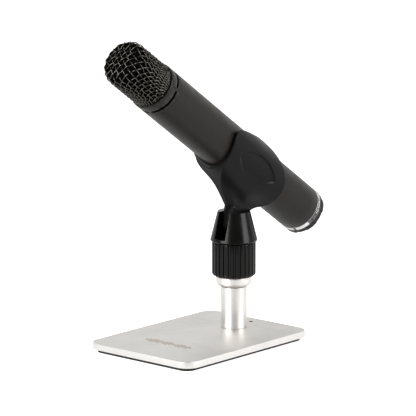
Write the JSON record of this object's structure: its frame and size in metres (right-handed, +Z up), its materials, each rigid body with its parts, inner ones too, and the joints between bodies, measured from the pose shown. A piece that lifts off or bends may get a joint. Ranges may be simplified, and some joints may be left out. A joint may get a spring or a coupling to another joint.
{
  "type": "desktop microphone",
  "caption": "Handheld condenser microphone with a woven grille, held in a tilting clip on a short post and a weighted rectangular table base.",
  "frame": {"origin": "middle of the base's underside, on the surface it stands on", "axes": "+Z up; the microphone's head points to -Y and upwards; +X is the right-hand side seen from the head"},
  "size_m": [0.092, 0.2044, 0.2168],
  "materials": {
    "black_rubber": "matt moulded",
    "nickel_plate": "satin nickel plate",
    "nickel_bar": "bright nickel plate",
    "zinc": "zinc plate",
    "black_abs": "satin moulded",
    "brass": "turned",
    "black_steel": "black oxide",
    "black_nylon": "fine moulded texture",
    "soft_rubber": "soft touch",
    "black_enamel": "fine satin enamel",
    "satin_silver": "satin with dark printed blocks",
    "black_wire": "satin black over woven wire",
    "foam": "open cell foam",
    "black_anodised": "black anodised",
    "gold": "gold flash",
    "board_green": "solder mask",
    "cast_alloy": "as cast",
    "core_steel": "laminated",
    "capacitor_sleeve": "sleeve",
    "battery_can": "plain printed jacket"
  },
  "bodies": {
    "stand": {"base_pad": "black_rubber", "base_plate": "nickel_plate", "post": "nickel_bar", "post_screw": "zinc", "post_ring": "nickel_bar"},
    "swivel": {"grip_collar": "black_abs", "thread_insert": "brass", "fork_cone": "black_abs", "pivot_bolt": "black_steel", "pivot_nut": "black_steel"},
    "clip": {"clip_cradle": "black_nylon", "side_pad_right": "soft_rubber", "side_pad_left": "soft_rubber"},
    "mic": {"body_tube": "black_enamel", "mark_band": "satin_silver", "grille": "black_wire", "grille_collar": "black_abs", "foam_liner": "foam", "xlr_shell": "nickel_bar", "tail_screw": "black_steel", "xlr_insert": "black_abs", "xlr_pin_1": "gold", "xlr_pin_2": "gold", "xlr_pin_3": "gold", "circuit_board": "board_green", "board_rail": "cast_alloy", "board_screw_1": "zinc", "board_screw_2": "zinc", "output_transformer": "core_steel", "capacitor_1": "capacitor_sleeve", "capacitor_2": "capacitor_sleeve", "capacitor_3": "capacitor_sleeve", "input_transistor": "black_abs", "battery": "battery_can", "battery_cradle": "black_abs", "positive_contact": "zinc", "negative_contact": "zinc", "contact_board": "board_green", "capsule_mount": "black_abs", "capsule_isolator": "black_rubber", "capsule_case": "brass", "capsule_backplate": "brass", "diaphragm": "gold", "capsule_ring": "brass"},
    "lock": {"lock_ring": "black_anodised"}
  },
  "joints": [
    {"name": "pan", "type": "hinge", "parent": "stand", "child": "swivel", "pos_m": [0, 0.0356, 0.043], "axis": [0, 0, 1], "range_deg": [-180, 180]},
    {"name": "tilt", "type": "hinge", "parent": "swivel", "child": "clip", "pos_m": [0, 0.0356, 0.079], "axis": [-1, 0, 0], "range_deg": [-60, 50]},
    {"name": "mic_slide", "type": "slide", "parent": "clip", "child": "mic", "axis": [0, -0.8241, 0.5664], "range_m": [-0.01, 0.04]},
    {"name": "lock_turn", "type": "hinge", "parent": "mic", "child": "lock", "pos_m": [0, 0.10885, 0.07757], "axis": [0, -0.8241, 0.5664], "range_deg": [0, 90]}
  ]
}
